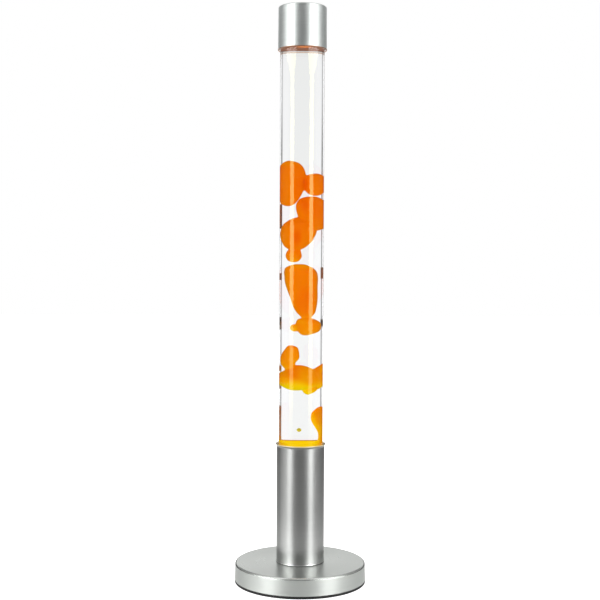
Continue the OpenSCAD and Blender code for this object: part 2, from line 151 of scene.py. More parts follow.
class Tree:
    """Short calls for building a node tree."""

    def __init__(self, tree):
        self.t = tree
        self.t.nodes.clear()

    def new(self, kind, **props):
        n = self.t.nodes.new(kind)
        for k, v in props.items():
            setattr(n, k, v)
        return n

    def link(self, a, b):
        self.t.links.new(a, b)

    def put(self, socket, value):
        if isinstance(value, bpy.types.NodeSocket):
            self.link(value, socket)
        else:
            socket.default_value = value

    def math(self, op, a, b=0.0, c=0.0, clamp=False):
        n = self.new("ShaderNodeMath", operation=op, use_clamp=clamp)
        self.put(n.inputs[0], a)
        self.put(n.inputs[1], b)
        self.put(n.inputs[2], c)
        return n.outputs[0]

    def vmath(self, op, a, b=(0, 0, 0), scale=1.0):
        n = self.new("ShaderNodeVectorMath", operation=op)
        self.put(n.inputs[0], a)
        self.put(n.inputs[1], b)
        if op == "SCALE":
            self.put(n.inputs["Scale"], scale)
        return n.outputs["Value"] if op in ("LENGTH", "DOT_PRODUCT", "DISTANCE") else n.outputs["Vector"]

    def step(self, v, a, b, lo=0.0, hi=1.0, smooth=True):
        n = self.new("ShaderNodeMapRange", interpolation_type="SMOOTHSTEP" if smooth else "LINEAR")
        self.put(n.inputs[0], v)
        for i, x in zip((1, 2, 3, 4), (a, b, lo, hi)):
            self.put(n.inputs[i], x)
        return n.outputs[0]

    def ramp(self, v, stops, mode="LINEAR"):
        n = self.new("ShaderNodeValToRGB")
        n.color_ramp.interpolation = mode
        e = n.color_ramp.elements
        while len(e) > 1:
            e.remove(e[-1])
        e[0].position, e[0].color = stops[0][0], (*stops[0][1], 1)
        for p, c in stops[1:]:
            el = e.new(p)
            el.color = (*c, 1)
        self.put(n.inputs[0], v)
        return n.outputs[0]

    def mix(self, f, a, b, blend="MIX"):
        n = self.new("ShaderNodeMix", data_type="RGBA", blend_type=blend)
        self.put(n.inputs[0], f)
        self.put(n.inputs[6], a)
        self.put(n.inputs[7], b)
        return n.outputs[2]

    def noise(self, vector, scale, detail=2.0, rough=0.5):
        n = self.new("ShaderNodeTexNoise")
        self.put(n.inputs["Vector"], vector)
        n.inputs["Scale"].default_value = scale
        n.inputs["Detail"].default_value = detail
        n.inputs["Roughness"].default_value = rough
        return n.outputs[0]

    def xyz(self, v):
        n = self.new("ShaderNodeSeparateXYZ")
        self.put(n.inputs[0], v)
        return n.outputs

    def combine(self, x, y, z):
        n = self.new("ShaderNodeCombineXYZ")
        for i, v in enumerate((x, y, z)):
            self.put(n.inputs[i], v)
        return n.outputs[0]


def material(name):
    m = bpy.data.materials.new(name)
    m.use_nodes = True
    t = Tree(m.node_tree)
    out = t.new("ShaderNodeOutputMaterial")
    return m, t, out


def principled(t, out, **values):
    p = t.new("ShaderNodeBsdfPrincipled")
    for k, v in values.items():
        t.put(p.inputs[k], v)
    if out is not None:
        t.link(p.outputs[0], out.inputs[0])
    return p


def lin(r, g, b):
    """sRGB bytes to linear."""
    return tuple((c / 255 / 12.92) if c <= 10 else ((c / 255 + 0.055) / 1.055) ** 2.4 for c in (r, g, b))


def col(r, g, b):
    return (*lin(r, g, b), 1.0)


def bump(t, height, strength, distance):
    n = t.new("ShaderNodeBump")
    n.inputs["Strength"].default_value = strength
    n.inputs["Distance"].default_value = distance
    t.link(height, n.inputs["Height"])
    return n.outputs[0]


# ---------------------------------------------------------------- materials

def turned_metal(name, base, rough, aniso, lines, line_bump, spread=0.05, metallic=1.0, spec=0.5, top_rough=None,
                 glow=None, band=None, inside=None, foot=None):
    """Metal finished on a lathe: fine rings run round the axis. glow is (height, height, colour, strength) of a
    painted glow, an emissive edge that fades in between the heights; band is (height, height, colour) of a tint that
    fades out upwards;
    inside is (radius, height, colour) of an inner lip painted bright with an emissive highlight; foot is the height of
    a joint painted dark as shade under a bead that gets a painted highlight, with the side painted lighter towards the
    foot."""
    m, t, out = material(name)
    tc = t.new("ShaderNodeTexCoord")
    x, y, z = t.xyz(tc.outputs["Object"])
    rad = t.math("SQRT", t.math("ADD", t.math("MULTIPLY", x, x), t.math("MULTIPLY", y, y)))
    across = t.math("ADD", rad, z)          # constant along a turned line on a side wall and on a flat
    v = t.combine(t.math("MULTIPLY", x, 6.0), t.math("MULTIPLY", y, 6.0), t.math("MULTIPLY", across, lines))
    fine = t.noise(v, 1.0, 3.0, 0.6)
    v2 = t.combine(t.math("MULTIPLY", x, 25.0), t.math("MULTIPLY", y, 25.0), t.math("MULTIPLY", across, lines * 0.23))
    broad = t.noise(v2, 1.0, 2.0, 0.5)
    smudge = t.noise(tc.outputs["Object"], 14.0, 3.0, 0.5)
    tone = t.math("ADD", t.math("MULTIPLY", fine, 0.6), t.math("MULTIPLY", broad, 0.4))
    lo = tuple(c * (1 - spread) for c in base)
    hi = tuple(min(1.0, c * (1 + spread)) for c in base)
    colour = t.ramp(t.step(tone, 0.35, 0.65, smooth=False), [(0.0, lo), (1.0, hi)])
    rv = t.math("ADD", t.step(tone, 0.3, 0.7, rough - 0.03, rough + 0.05, smooth=False),
                t.step(smudge, 0.35, 0.65, -0.015, 0.02))
    tan = t.new("ShaderNodeTangent", direction_type="RADIAL", axis="Z")
    p = principled(t, out, Metallic=metallic, Anisotropic=aniso)
    p.inputs["Anisotropic Rotation"].default_value = 0.25
    p.inputs["Specular IOR Level"].default_value = spec
    if top_rough is not None:
        # the face turned flat is smoother and barer than the spun side
        geo = t.new("ShaderNodeNewGeometry")
        nz = t.xyz(geo.outputs["True Normal"])[2]
        flat_top = t.step(nz, 0.90, 0.98)
        turn = t.math("MULTIPLY", t.step(nz, 0.06, 0.2), t.step(nz, 0.97, 0.90))
        rv = t.math("ADD", rv, t.math("ADD", t.math("MULTIPLY", flat_top, top_rough - rough), t.math("MULTIPLY", turn, 0.2 - rough)))
        t.link(t.math("MULTIPLY_ADD", t.math("MAXIMUM", flat_top, turn), 0.95 - metallic, metallic), p.inputs["Metallic"])
    if band is not None:
        colour = t.mix(t.step(z, band[1], band[0]), colour, (*band[2], 1.0))
    # painted light: an emissive band on the lip edge, kept off its far left and right
    if glow is not None:
        p.inputs["Emission Color"].default_value = (*glow[2], 1.0)
        ends = t.step(t.math("ABSOLUTE", x), 0.0325, 0.0285, 0.0, 1.0)
        t.link(t.math("MULTIPLY", ends, t.step(z, glow[0], glow[1], 0.0, glow[3])), p.inputs["Emission Strength"])
    # painted highlight: the inner lip is made pale and glows by emission
    if inside is not None:
        lip = t.math("MULTIPLY", t.step(rad, inside[0], inside[0] - 0.0003), t.step(z, inside[1], inside[1] - 0.0006))
        colour = t.mix(lip, colour, (*inside[2], 1.0))
        p.inputs["Emission Color"].default_value = (*inside[2], 1.0)
        t.link(t.math("MULTIPLY", lip, 0.8), p.inputs["Emission Strength"])
    if foot is not None:
        # painted light: the side is made lighter towards the foot, as if it caught the light that the base throws
        # back; below foot the joint is painted dark as shade, and the bead just above gets a painted highlight
        near = t.step(z, 0.105, 0.035, 0.85, 1.16)
        colour = t.mix(1.0, colour, t.combine(near, near, near), "MULTIPLY")
        colour = t.mix(t.step(z, foot, foot + 0.0002, 0.0, 1.0), t.mix(1.0, colour, (0.08, 0.08, 0.08, 1), "MULTIPLY"),
                       t.mix(t.step(z, foot + 0.0016, foot + 0.0009), colour, (0.95, 0.95, 0.94, 1.0)))
    t.link(colour, p.inputs["Base Color"])
    t.link(rv, p.inputs["Roughness"])
    t.link(tan.outputs[0], p.inputs["Tangent"])
    t.link(bump(t, fine, 0.12, line_bump), p.inputs["Normal"])
    return m


def closure_material():
    """Copper-coloured lacquer. Its underside, which looks down the tube, gets a painted glow by emission, standing in
    for the light of the wax.
    """
    m, t, out = material("copper_lacquered_closure")
    tc = t.new("ShaderNodeTexCoord")
    x, y, z = t.xyz(tc.outputs["Object"])
    rad = t.math("SQRT", t.math("ADD", t.math("MULTIPLY", x, x), t.math("MULTIPLY", y, y)))
    rings = t.noise(t.combine(t.math("MULTIPLY", x, 6.0), t.math("MULTIPLY", y, 6.0), t.math("MULTIPLY", t.math("ADD", rad, z), 1800.0)), 1.0, 3.0, 0.6)
    cloud = t.noise(tc.outputs["Object"], 45.0, 2.0, 0.5)
    colour = t.ramp(t.step(t.math("MULTIPLY_ADD", rings, 0.5, t.math("MULTIPLY", cloud, 0.5)), 0.35, 0.65, smooth=False),
                    [(0.0, (0.27, 0.075, 0.020)), (1.0, (0.36, 0.11, 0.032))])
    # painted light: an emissive glow, brightest towards the middle of the near half, darker at the rim
    u = t.math("MULTIPLY_ADD", x, 1 / 0.011, -0.2)
    v = t.math("MULTIPLY_ADD", y, 1 / 0.008, 1.4)
    d2 = t.math("ADD", t.math("MULTIPLY", u, u), t.math("MULTIPLY", v, v))
    lit = t.math("ADD", t.step(d2, 1.0, 0.0, 0.0, 2.4), t.step(rad, 0.027, 0.016, 0.0, 0.25))
    p = principled(t, out, Roughness=0.45)
    p.inputs["Specular IOR Level"].default_value = 0.02
    p.inputs["Emission Color"].default_value = (0.50, 0.13, 0.008, 1.0)
    t.link(t.math("MULTIPLY", lit, 0.5), p.inputs["Emission Strength"])
    t.link(colour, p.inputs["Base Color"])
    t.link(bump(t, rings, 0.12, 0.00002), p.inputs["Normal"])
    return m


def plain_metal(name, base, rough, scale=180.0, spread=0.08):
    m, t, out = material(name)
    tc = t.new("ShaderNodeTexCoord")
    n = t.noise(tc.outputs["Object"], scale, 4.0, 0.6)
    f = t.step(n, 0.35, 0.65, smooth=False)
    colour = t.ramp(f, [(0.0, tuple(c * (1 - spread) for c in base)), (1.0, tuple(min(1, c * (1 + spread)) for c in base))])
    p = principled(t, out, Metallic=1.0)
    t.link(colour, p.inputs["Base Color"])
    t.link(t.step(n, 0.3, 0.7, rough - 0.06, rough + 0.06, smooth=False), p.inputs["Roughness"])
    t.link(bump(t, n, 0.1, 0.0002), p.inputs["Normal"])
    return m


def plastic(name, base, rough, grain=900.0, depth=0.00006, spread=0.15, spec=0.5):
    m, t, out = material(name)
    tc = t.new("ShaderNodeTexCoord")
    n = t.noise(tc.outputs["Object"], grain, 3.0, 0.6)
    big = t.noise(tc.outputs["Object"], 30.0, 2.0, 0.5)
    colour = t.ramp(t.step(big, 0.3, 0.7, smooth=False),
                    [(0.0, tuple(c * (1 - spread) for c in base)), (1.0, tuple(min(1, c * (1 + spread)) for c in base))])
    p = principled(t, out)
    p.inputs["Specular IOR Level"].default_value = spec
    t.link(colour, p.inputs["Base Color"])
    t.link(t.step(n, 0.3, 0.7, rough - 0.05, rough + 0.05, smooth=False), p.inputs["Roughness"])
    t.link(bump(t, n, 0.25, depth), p.inputs["Normal"])
    return m


def glass_material():
    """Clear tube. Its outer face meets air, its bore meets the liquid, so the two faces bend light differently."""
    m, t, out = material("clear_tube_glass")
    tc = t.new("ShaderNodeTexCoord")
    x, y, z = t.xyz(tc.outputs["Object"])
    rad = t.math("SQRT", t.math("ADD", t.math("MULTIPLY", x, x), t.math("MULTIPLY", y, y)))
    wave = t.noise(tc.outputs["Object"], 9.0, 2.0, 0.5)
    outer = principled(t, None, Metallic=0.0, Roughness=0.0, IOR=1.5)
    outer.inputs["Transmission Weight"].default_value = 1.0
    # painted reflection colour: the glass tints the lights' reflections yellow low down and pink beside the closure
    t.link(t.mix(t.step(z, 0.690, 0.699), (1.0, 0.97, 0.37, 1), (1.0, 0.86, 0.82, 1)), outer.inputs["Specular Tint"])
    inner = principled(t, None, Metallic=0.0, Roughness=0.0, IOR=1.103)
    inner.inputs["Transmission Weight"].default_value = 1.0
    tint = t.ramp(t.step(wave, 0.3, 0.7, smooth=False), [(0.0, (0.985, 0.99, 0.985)), (1.0, (0.995, 1.0, 0.995))])
    # painted shade: a fine dark line is painted at each edge of the far wall, standing in for light that leaves it at
    # a slant and is lost to the thickness of the glass
    lw = t.new("ShaderNodeLayerWeight")
    lw.inputs["Blend"].default_value = 0.5
    facing = lw.outputs["Facing"]
    geo = t.new("ShaderNodeNewGeometry")
    edge = t.math("MULTIPLY", t.step(facing, 0.1890, 0.1960), t.step(facing, 0.2265, 0.2200))
    edge = t.math("MULTIPLY", edge, geo.outputs["Backfacing"])
    dim = t.math("ADD", t.step(z, 0.44, 0.54, 0.21, 0.08), t.step(z, 0.57, 0.66, 0.0, 0.34))
    rim = t.mix(edge, tint, t.combine(dim, dim, dim))
    # painted reflection: the wax near one side of the tube is painted into the far rim as short dark brown marks at
    # the listed heights
    marks = []
    for side, inner_a, inner_b, outer_a, outer_b, spans in (
            ("LESS_THAN", 0.1900, 0.1970, 0.2560, 0.2500,
             ((0.1845, 0.2315), (0.2543, 0.2616), (0.2782, 0.2856), (0.3340, 0.3514), (0.4006, 0.4102), (0.4693, 0.5026))),
            ("GREATER_THAN", 0.1820, 0.1890, 0.2500, 0.2440,
             ((0.3386, 0.3482), (0.4028, 0.4182)))):
        total = 0.0
        for low, high in spans:
            total = t.math("ADD", total, t.math("MULTIPLY", t.step(z, low - 0.0006, low + 0.0006),
                                                t.step(z, high + 0.0006, high - 0.0006)))
        band = t.math("MULTIPLY", t.step(facing, inner_a, inner_b), t.step(facing, outer_a, outer_b))
        marks.append(t.math("MULTIPLY", t.math("MULTIPLY", band, t.math(side, x, 0.0)), total))
    mark = t.math("MULTIPLY", t.math("ADD", marks[0], marks[1]), geo.outputs["Backfacing"])
    brown = t.ramp(t.step(z, 0.18, 0.34, smooth=False), [(0.0, (0.22, 0.035, 0.004)), (0.25, (0.055, 0.012, 0.006)),
                                                         (0.6, (0.06, 0.015, 0.003)), (1.0, (0.012, 0.006, 0.004))])
    t.link(t.mix(mark, rim, brown), outer.inputs["Base Color"])
    inner.inputs["Base Color"].default_value = (1, 1, 1, 1)
    # liquid touches the bore only between the glass floor and the closure
    wet = t.math("MULTIPLY", t.math("LESS_THAN", rad, 0.02815),
                 t.math("MULTIPLY", t.math("GREATER_THAN", z, 0.1315), t.math("LESS_THAN", z, 0.7054)))
    mixer = t.new("ShaderNodeMixShader")
    t.link(wet, mixer.inputs[0])
    t.link(outer.outputs[0], mixer.inputs[1])
    t.link(inner.outputs[0], mixer.inputs[2])
    t.link(mixer.outputs[0], out.inputs[0])
    return m


def liquid_material():
    """The liquid bends light at the bore, where the glass material does it; its own body only passes light on."""
    m, t, out = material("clear_liquid_body")
    tc = t.new("ShaderNodeTexCoord")
    n = t.noise(tc.outputs["Object"], 6.0, 2.0, 0.5)
    tr = t.new("ShaderNodeBsdfTransparent")
    t.link(t.ramp(t.step(n, 0.3, 0.7, smooth=False), [(0.0, (0.992, 0.993, 0.99)), (1.0, (1.0, 1.0, 0.998))]), tr.inputs[0])
    t.link(tr.outputs[0], out.inputs[0])
    return m


# lighter and darker spots of painted light and shade on the wax and the pool
WAX_LIGHT_AND_SHADE_SPOTS = [(-14, 556, 15, 7, 0.16), (-17, 530, 8, 40, 0.07), (-1, 522, 10, 26, -0.10), (3.5, 527, 5, 12, -0.12), (2.5, 500, 6, 10, -0.09),
             (5, 494, 7, 12, -0.08), (17, 492, 8, 14, -0.06),
             (-5, 457, 6, 14, -0.20), (-11, 432, 8, 10, 0.12), (-17, 460, 8, 18, 0.08), (0, 422, 22, 9, 0.26), (-14, 402, 6, 22, 0.09),
             (3, 372, 12, 28, -0.12), (8, 344, 16, 15, 0.12), (1, 348, 9, 6, 0.16),
             (-8.5, 338, 6, 8, 0.32), (-12, 306, 8, 12, 0.12), (-20, 276, 8, 10, 0.14), (6, 280, 13, 13, 0.19),
             (-7, 256, 22, 18, 0.28), (24, 284, 6, 6, 0.2)]
POOL_LIGHT_AND_SHADE_SPOTS = [(11, 213, 8, 20, 0.20), (20, 204, 9, 10, 0.14), (26, 188, 6, 9, -0.35)]


def wax_material(name="molten_wax", pool=False):
    """Wax with painted light from the bulb below: yellow where it faces down and near the pool, deep orange higher up;
    it glows by emission.
    """
    m, t, out = material(name)
    tc = t.new("ShaderNodeTexCoord")
    geo = t.new("ShaderNodeNewGeometry")
    x, y, z = t.xyz(tc.outputs["Object"])
    nz = t.xyz(geo.outputs["Normal"])[2]
    under = t.math("MULTIPLY_ADD", nz, -0.5, 0.5, clamp=True)
    cloud = t.noise(tc.outputs["Object"], 38.0, 3.0, 0.55)
    if pool:
        f = t.ramp(t.step(z, 0.17, 0.24, smooth=False), [
            (0.0, (1.0,) * 3), (0.24, (0.95,) * 3), (0.36, (0.78,) * 3), (0.62, (0.50,) * 3), (0.86, (0.24,) * 3), (1.0, (0.14,) * 3)])
    else:
        # painted light: how far the glow from below reaches
        reach = t.ramp(t.step(z, 0.18, 0.58, smooth=False), [
            (0.0, (1.0,) * 3), (0.18, (0.92,) * 3), (0.26, (0.66,) * 3), (0.40, (0.40,) * 3),
            (0.56, (0.26,) * 3), (0.80, (0.20,) * 3), (1.0, (0.18,) * 3)])
        f = t.math("MULTIPLY", t.math("MULTIPLY_ADD", under, 0.80, 0.20), reach)
    f = t.math("ADD", f, t.step(cloud, 0.3, 0.7, -0.03, 0.04, smooth=False))
    # painted light and shade: lighter and darker places, (x, height, half width, half height) in mm and how much they
    # shift the glow
    for cx, cz, rx, rz, shift in POOL_LIGHT_AND_SHADE_SPOTS if pool else WAX_LIGHT_AND_SHADE_SPOTS:
        u = t.math("MULTIPLY_ADD", x, 1000.0 / rx, -cx / rx)
        v = t.math("MULTIPLY_ADD", z, 1000.0 / rz, -cz / rz)
        d2 = t.math("ADD", t.math("MULTIPLY", u, u), t.math("MULTIPLY", v, v))
        f = t.math("ADD", f, t.step(d2, 1.0, 0.0, 0.0, shift))
    f = t.math("MULTIPLY_ADD", f, 0.87, 0.13, clamp=True)
    if pool:
        # the rim of the still surface climbs the glass, and that ring is coloured a darker brown
        rad = t.math("SQRT", t.math("ADD", t.math("MULTIPLY", x, x), t.math("MULTIPLY", y, y)))
        meniscus_ring = t.math("MULTIPLY", t.step(rad, 0.0255, 0.0261), t.step(nz, 0.2, 0.5))
    colour = t.ramp(f, [
        (0.00, lin(228, 78, 0)), (0.13, lin(240, 108, 1)), (0.217, lin(241, 116, 2)), (0.391, lin(243, 136, 4)),
        (0.565, lin(245, 158, 5)), (0.756, lin(248, 186, 6)), (1.0, lin(251, 212, 12))])
    if pool:
        colour = t.mix(meniscus_ring, colour, col(190, 124, 60))
        # painted light: the pool is made more orange towards its left and right sides
        colour = t.mix(t.step(t.math("ABSOLUTE", x), 0.013, 0.027, 0.0, 0.55), colour, col(214, 128, 10))
    if not pool:
        colour = t.mix(1.0, colour, (1.060, 0.935, 1.10, 1), "MULTIPLY")
    p = principled(t, out, Roughness=0.5)
    p.inputs["Specular IOR Level"].default_value = 0.0
    # painted light: the wax glows by emission in its own colour, standing in for the bulb's light passing through it
    p.inputs["Emission Strength"].default_value = 0.80
    # the outermost layer is clearer and lets the light run out at the rims
    if not pool:
        p.inputs["Coat Weight"].default_value = 1.0
        p.inputs["Coat IOR"].default_value = 1.012
        p.inputs["Coat Roughness"].default_value = 0.3
        p.inputs["Coat Tint"].default_value = (0.91, 0.97, 0.60, 1.0)
        p.inputs["Sheen Weight"].default_value = 0.22
        p.inputs["Sheen Roughness"].default_value = 0.3
        p.inputs["Sheen Tint"].default_value = (0.75, 0.85, 0.02, 1.0)
    t.link(t.mix(1.0, colour, (0.45, 0.45, 0.45, 1), "MULTIPLY"), p.inputs["Base Color"])
    t.link(colour, p.inputs["Emission Color"])
    return m


def droplet_material():
    m, t, out = material("wax_droplet_glow")
    tc = t.new("ShaderNodeTexCoord")
    n = t.noise(tc.outputs["Object"], 400.0, 2.0, 0.5)
    colour = t.ramp(t.step(n, 0.3, 0.7, smooth=False), [(0.0, lin(206, 192, 60)), (1.0, lin(218, 204, 84))])
    p = principled(t, out, Roughness=0.5)
    p.inputs["IOR"].default_value = 1.10
    # painted light: the droplet glows by emission in its own colour
    p.inputs["Emission Strength"].default_value = 0.6
    t.link(t.mix(1.0, colour, (0.5, 0.5, 0.5, 1), "MULTIPLY"), p.inputs["Base Color"])
    t.link(colour, p.inputs["Emission Color"])
    return m


def thin_glass(name):
    m, t, out = material(name)
    tc = t.new("ShaderNodeTexCoord")
    n = t.noise(tc.outputs["Object"], 60.0, 2.0, 0.5)
    p = principled(t, out, Roughness=0.02, IOR=1.46)
    p.inputs["Transmission Weight"].default_value = 1.0
    t.link(t.ramp(n, [(0.0, (0.95, 0.97, 0.97)), (1.0, (1, 1, 1))]), p.inputs["Base Color"])
    return m


MATS = {
    # the cap's inner lip gets a painted highlight
    "brushed_metal": turned_metal("turned_satin_metal", (0.79, 0.83, 0.81), 0.40, 0.2, 2600.0, 0.00002,
                                  band=(0.7041, 0.7050, (0.60, 0.34, 0.22)), inside=(0.0313, 0.7062, (0.86, 0.80, 0.76))),
    # the sleeve's lip gets a painted glow, its foot painted shade and a painted highlight
    "sleeve_metal": turned_metal("brushed_sleeve_metal", (0.50, 0.508, 0.497), 0.33, 0.15, 1700.0, 0.00002, 0.03,
                                 glow=(0.1824, 0.1834, lin(238, 212, 120), 0.55), foot=0.0271),
    "base_metal": turned_metal("satin_base_metal", (0.61, 0.635, 0.607), 0.42, 0.2, 2200.0, 0.00002, 0.02, 0.8, 0.5, 0.30),
    "black_rubber": plastic("foot_rubber", (0.012, 0.012, 0.012), 0.75, 700, 0.00012),
    "black_steel": plastic("black_painted_steel", (0.02, 0.02, 0.02), 0.5, 1200, 0.00005),
    "cast_iron": plastic("rough_cast_iron", (0.10, 0.10, 0.105), 0.8, 500, 0.0004, 0.3),
    "zinc_steel": plain_metal("zinc_plated_steel", (0.60, 0.61, 0.62), 0.35),
    "black_plastic": plastic("moulded_black_plastic", (0.02, 0.02, 0.02), 0.45, 1500, 0.00005),
    "brass": plain_metal("machined_brass", (0.80, 0.58, 0.25), 0.3),
    "reflector_metal": plain_metal("polished_reflector", (0.88, 0.89, 0.90), 0.12, 90.0, 0.03),
    "ceramic": plastic("lampholder_ceramic", (0.80, 0.78, 0.72), 0.5, 600, 0.0001, 0.05),
    "silicone": plastic("silicone_rubber", (0.62, 0.59, 0.52), 0.55, 300, 0.0001, 0.06),
    "quartz": thin_glass("bulb_quartz"),
    "tungsten": plain_metal("filament_metal", (0.35, 0.34, 0.33), 0.4),
    "copper_metal": closure_material(),
    "clear_glass": glass_material(),
    "clear_liquid": liquid_material(),
    "wax_orange": wax_material(),
    "wax_yellow": wax_material("molten_wax_pool", True),
    "droplet": droplet_material(),
}


def dress(obj, key):
    obj.data.materials.clear()
    obj.data.materials.append(MATS[key])
    return obj


slot_of = {s["node"]: s["material_slot"] for s in frame["record"]["subparts"]}
for n, o in nodes.items():
    key = slot_of[n]
    if n == "sleeve":
        key = "sleeve_metal"
    if n == "base_shell":
        key = "base_metal"
    dress(o, key)


# ---------------------------------------------------------------- wax

def loft(bm, stations, yc=0.0, depth=1.0, back=1.0, n=40):
    """One mass of wax from stations (height, left, right) in mm, read from the bottom or top; kept off the bore.
    back makes the half that faces the rear deeper."""
    st = spline(sorted((z + (z - 305.0) * 0.0024, a, b) for z, a, b in stations), 3)
    rings = []
    for z, a, b in st:
        cx, rx = (a + b) / 2, max((b - a) / 2, 0.2)
        halves = []
        for ry, y0 in ((rx * depth, -yc), (rx * depth * back, yc)):
            for _ in range(80):
                worst = max(math.hypot(cx + rx * math.cos(q / 12 * math.pi), y0 + ry * math.sin(q / 12 * math.pi))
                            for q in range(1, 12))
                if worst <= 27.0 or ry < 1:
                    break
                ry *= 0.97
            halves.append(ry)
        ring = []
        for k in range(n):
            a = 2 * math.pi * k / n
            ry = halves[1] if math.sin(a) > 0 else halves[0]
            ring.append(bm.verts.new(((cx + rx * math.cos(a)) * MM, (yc + ry * math.sin(a)) * MM, z * MM)))
        rings.append(ring)
    for i in range(len(rings) - 1):
        for k in range(n):
            bm.faces.new((rings[i][k], rings[i][(k + 1) % n], rings[i + 1][(k + 1) % n], rings[i + 1][k]))
    bm.faces.new(list(reversed(rings[0])))
    bm.faces.new(rings[-1])


def wax_piece(name, lofts, node, body, voxel=0.7, passes=8, key="wax_orange"):
    bm = bmesh.new()
    for stations, yc, depth, back in lofts:
        loft(bm, stations, yc, depth, back)
    bmesh.ops.recalc_face_normals(bm, faces=bm.faces)
    me = bpy.data.meshes.new(name)
    bm.to_mesh(me)
    bm.free()
    obj = link(bpy.data.objects.new(name, me))
    r = obj.modifiers.new("merge", "REMESH")
    r.mode, r.voxel_size, r.use_smooth_shade = "VOXEL", voxel * MM, True
    s = obj.modifiers.new("relax", "SMOOTH")
    s.factor, s.iterations = 0.5, passes
    apply_modifiers(obj)
    for p in obj.data.polygons:
        p.use_smooth = True
    dress(obj, key)
    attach(obj, body)
    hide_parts(node)
    return obj


WAX_A = [(557.8, -14.0, -12.0), (555.5, -18.5, -4.5), (552.7, -21.5, -1.1), (550, -23.2, 0.9), (545, -25.3, 2.9),
         (539.5, -26.2, 3.8), (532, -26.6, 4.1), (524, -26.6, 3.2), (518.5, -26.5, 1.8), (513.3, -26.0, -0.1),
         (508, -24.8, -2.4), (503, -22.0, -5.2), (500, -19.5, -7.8), (498, -15.5, -11.5)]
WAX_B = [(541.2, 12.0, 15.5), (539.5, 6.5, 20.3), (537, 3.6, 22.8), (531.7, 2.0, 24.6), (526.4, 1.6, 25.0),
         (521, 2.5, 24.5), (518.5, 3.2, 23.5), (516, 4.6, 21.8), (513.5, 7.2, 18.6), (511.8, 11.0, 15.0)]
WAX_C = [(510.9, 8.0, 13.0), (510.2, 3.5, 15.8), (508, -1.5, 19.5), (505.4, -3.6, 22.5), (500, -5.5, 25.0),
         (495, -5.6, 26.2), (489.6, -4.8, 26.6), (484.4, -3.6, 26.6), (479, -2.0, 26.5), (474, 0.5, 25.8),
         (471, 3.0, 24.5), (468.6, 6.0, 21.2), (466.5, 10.0, 16.5)]
WAX_D = [(483.4, -5.0, 0.0), (481.7, -9.5, 4.0), (479, -13.5, 8.0), (476.4, -16.3, 11.0), (473.8, -18.6, 12.8),
         (468.6, -20.3, 14.6), (463.3, -21.3, 14.6), (458, -21.3, 12.8), (452.7, -20.3, 10.8), (447.5, -18.3, 7.0),
         (444.8, -16.8, 4.7), (442.2, -14.0, 1.5), (440, -9.5, -3.0)]
WAX_E = [(443, -10.5, -5.0), (439.6, -14.0, -0.8), (437, -15.2, -0.3), (434.3, -15.9, 0.3), (431.7, -15.9, 0.3),
         (429, -15.0, -0.6), (426.4, -13.4, -2.2), (424.4, -10.0, -5.0)]
WAX_F = [(422, -5.0, 1.0), (421, -9.5, 5.0), (418.5, -13.8, 8.8), (416, -15.6, 12.0), (413.3, -15.9, 13.6),
         (410.6, -16.1, 14.7), (405.4, -15.8, 15.4), (400, -15.6, 15.4), (395, -14.9, 15.2), (389.6, -13.8, 15.2),
         (384.4, -12.5, 15.3), (379, -11.0, 15.4), (374, -9.9, 15.3), (368.6, -8.6, 15.0), (363.4, -7.0, 14.4),
         (358, -4.5, 13.5), (355.5, -2.5, 12.2), (353, -0.8, 10.6), (350.3, 0.8, 9.0), (347, 3.0, 7.5)]
WAX_G = [(350.8, 3.0, 8.0), (350, -2.5, 11.5), (347.7, -4.4, 15.5), (345, -5.2, 18.0), (342.4, -5.3, 18.8),
         (339.8, -5.1, 19.0), (337, -4.7, 18.9), (334.5, -3.8, 18.2), (332, -2.4, 16.0), (329.4, -0.3, 10.0),
         (328.1, 2.4, 6.0)]
WAX_G_NUB = [(342.6, -8.0, -5.0), (341.2, -9.8, -3.0), (338, -10.9, -2.0), (335.2, -10.1, -2.0), (333.2, -8.0, -4.0)]
WAX_H1 = [(314.9, -12.0, -8.5), (313.5, -13.6, -5.2), (311.3, -15.0, -3.0), (308.2, -16.7, -2.2), (305.6, -18.1, -1.8),
          (303, -19.2, -1.6), (300.4, -20.1, -1.5), (297.7, -20.8, -1.7), (295, -21.0, -3.2), (292.4, -20.9, -5.0),
          (289.9, -20.6, -5.6), (287.8, -19.4, -5.2), (285.7, -17.6, -4.8), (283, -16.0, -5.0), (280, -15.5, -6.0)]
WAX_H2 = [(288.9, -4.0, 0.0), (287.4, -8.0, 5.0), (284.6, -12.0, 10.0), (282, -15.8, 14.0), (279.2, -19.0, 16.8),
          (277.2, -21.6, 18.3), (275.2, -24.0, 19.4), (273.2, -25.8, 20.2), (271, -26.3, 20.7), (268, -26.2, 21.0),
          (264.5, -24.8, 20.5), (262, -22.2, 19.0), (259.5, -18.5, 15.0), (257, -14.0, 8.0), (255.4, -9.0, -1.0)]
WAX_H3 = [(290, 21.0, 24.0), (287.2, 17.0, 25.6), (284.6, 13.5, 26.1), (281, 9.0, 26.5), (276, 6.0, 26.6),
          (270, 5.0, 26.6), (266, 6.0, 26.2), (262, 9.0, 24.5), (258.5, 12.0, 20.5), (256.5, 14.0, 17.0)]
WAX_H4 = [(268, 4.0, 13.0), (262, 1.8, 16.8), (258.2, 1.2, 17.4), (255.6, 1.3, 16.5), (253, 2.2, 13.8),
          (251.2, 4.0, 10.5), (249.9, 6.0, 8.0)]
